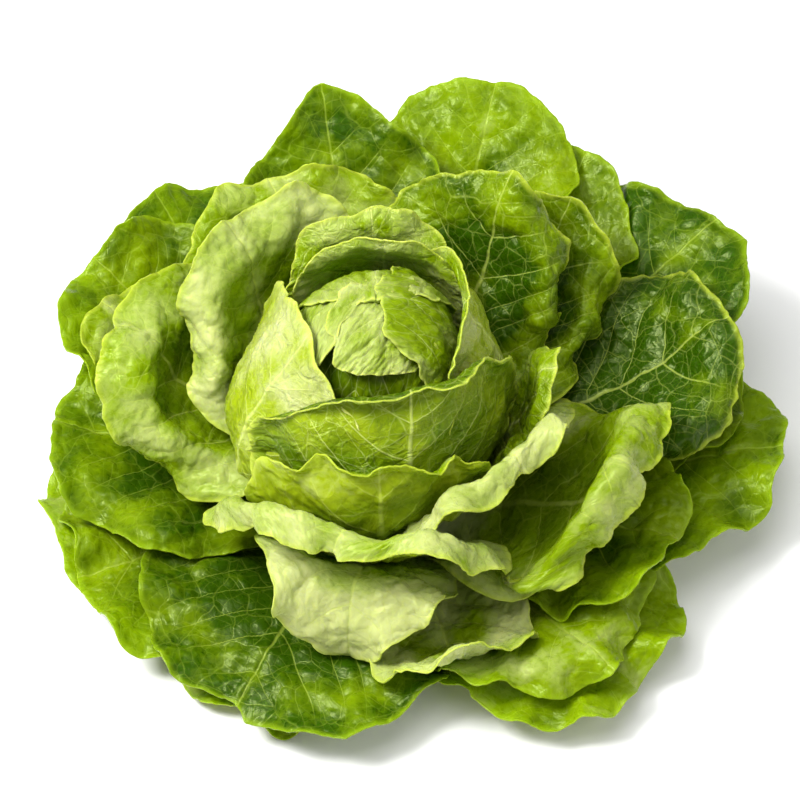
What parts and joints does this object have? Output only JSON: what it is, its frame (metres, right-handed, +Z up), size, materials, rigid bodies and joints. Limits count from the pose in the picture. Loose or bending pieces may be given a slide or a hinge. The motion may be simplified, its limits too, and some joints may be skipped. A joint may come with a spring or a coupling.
{
  "type": "butterhead lettuce head",
  "caption": "Loose round butterhead lettuce: wide crumpled green leaves round a pale folded heart on a short cut stem.",
  "frame": {"origin": "middle of the stem's cut face, which the head rests on", "axes": "+Z up through the head along the stem, -Y towards the side the picture shows"},
  "size_m": [0.2784, 0.2694, 0.1234],
  "materials": {
    "stem": "matte",
    "heart": "satin",
    "wrapper_leaf": "satin",
    "middle_leaf": "satin",
    "outer_leaf": "satin"
  },
  "bodies": {
    "root": {"stem": "stem", "heart": "heart", "wrapper_leaf_01": "wrapper_leaf", "wrapper_leaf_02": "wrapper_leaf", "wrapper_leaf_03": "wrapper_leaf", "wrapper_leaf_04": "wrapper_leaf", "wrapper_leaf_05": "wrapper_leaf", "wrapper_leaf_06": "wrapper_leaf", "middle_leaf_01": "middle_leaf", "middle_leaf_02": "middle_leaf", "middle_leaf_03": "middle_leaf", "middle_leaf_04": "middle_leaf", "middle_leaf_05": "middle_leaf", "middle_leaf_06": "middle_leaf", "middle_leaf_07": "middle_leaf", "middle_leaf_08": "middle_leaf", "middle_leaf_09": "middle_leaf", "middle_leaf_10": "middle_leaf", "middle_leaf_11": "middle_leaf", "middle_leaf_12": "middle_leaf", "middle_leaf_13": "middle_leaf", "outer_leaf_01": "outer_leaf", "outer_leaf_02": "outer_leaf", "outer_leaf_03": "outer_leaf", "outer_leaf_04": "outer_leaf", "outer_leaf_05": "outer_leaf", "outer_leaf_06": "outer_leaf", "outer_leaf_07": "outer_leaf", "outer_leaf_08": "outer_leaf", "outer_leaf_09": "outer_leaf", "outer_leaf_10": "outer_leaf", "outer_leaf_11": "outer_leaf", "outer_leaf_12": "outer_leaf", "outer_leaf_13": "outer_leaf", "outer_leaf_14": "outer_leaf", "outer_leaf_15": "outer_leaf", "outer_leaf_16": "outer_leaf", "outer_leaf_17": "outer_leaf"}
  },
  "joints": []
}
